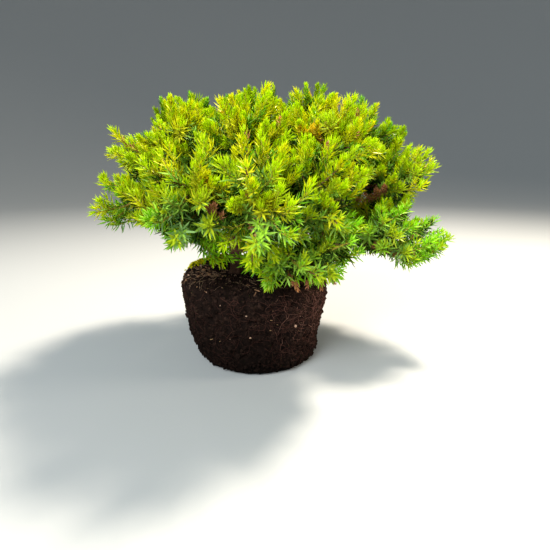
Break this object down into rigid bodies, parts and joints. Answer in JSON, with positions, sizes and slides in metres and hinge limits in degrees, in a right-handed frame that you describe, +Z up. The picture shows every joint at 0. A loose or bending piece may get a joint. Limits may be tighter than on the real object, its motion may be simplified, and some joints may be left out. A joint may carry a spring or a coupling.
{
  "type": "japanese garden juniper bonsai",
  "caption": "Dwarf juniper bonsai with a short leaning trunk, spreading boughs and a dense cushion crown of needle-leaved masses, standing on its bare root ball",
  "frame": {"origin": "the middle of the root ball's flat underside, on the surface that it stands on", "axes": "+Z up; +X to the right in the picture, along the crown's longest spread; +Y away from the picture's viewer"},
  "size_m": [0.2605, 0.233, 0.1973],
  "materials": {
    "soil_and_roots": "matt, crumbly peat with a net of fine roots",
    "bark": "matt, scaly",
    "needles": "satin, waxy needles"
  },
  "bodies": {
    "root": {"root_ball": "soil_and_roots", "trunk": "bark", "bough_left_low": "bark", "bough_left_high": "bark", "bough_left_back": "bark", "bough_front_left": "bark", "bough_front_left_low": "bark", "bough_front_mid": "bark", "bough_front_right_low": "bark", "bough_front_low": "bark", "bough_front_right": "bark", "bough_right_low": "bark", "bough_right_mid": "bark", "bough_right_high": "bark", "bough_right_top": "bark", "bough_back_right": "bark", "bough_back_right_low": "bark", "bough_back_mid": "bark", "bough_back_low": "bark", "bough_back_left": "bark", "bough_back_left_low": "bark", "bough_upper_left": "bark", "bough_upper_front": "bark", "bough_upper_right": "bark", "bough_top_left": "bark", "bough_top_back": "bark", "bough_top_mid": "bark", "foliage_left_low": "needles", "foliage_left_high": "needles", "foliage_left_back": "needles", "foliage_front_left": "needles", "foliage_front_left_low": "needles", "foliage_front_mid": "needles", "foliage_front_right_low": "needles", "foliage_front_low": "needles", "foliage_front_right": "needles", "foliage_right_low": "needles", "foliage_right_mid": "needles", "foliage_right_high": "needles", "foliage_right_top": "needles", "foliage_back_right": "needles", "foliage_back_right_low": "needles", "foliage_back_mid": "needles", "foliage_back_low": "needles", "foliage_back_left": "needles", "foliage_back_left_low": "needles", "foliage_upper_left": "needles", "foliage_upper_front": "needles", "foliage_upper_right": "needles", "foliage_top_left": "needles", "foliage_top_back": "needles", "foliage_top_right": "needles", "foliage_top_mid": "needles"}
  },
  "joints": []
}
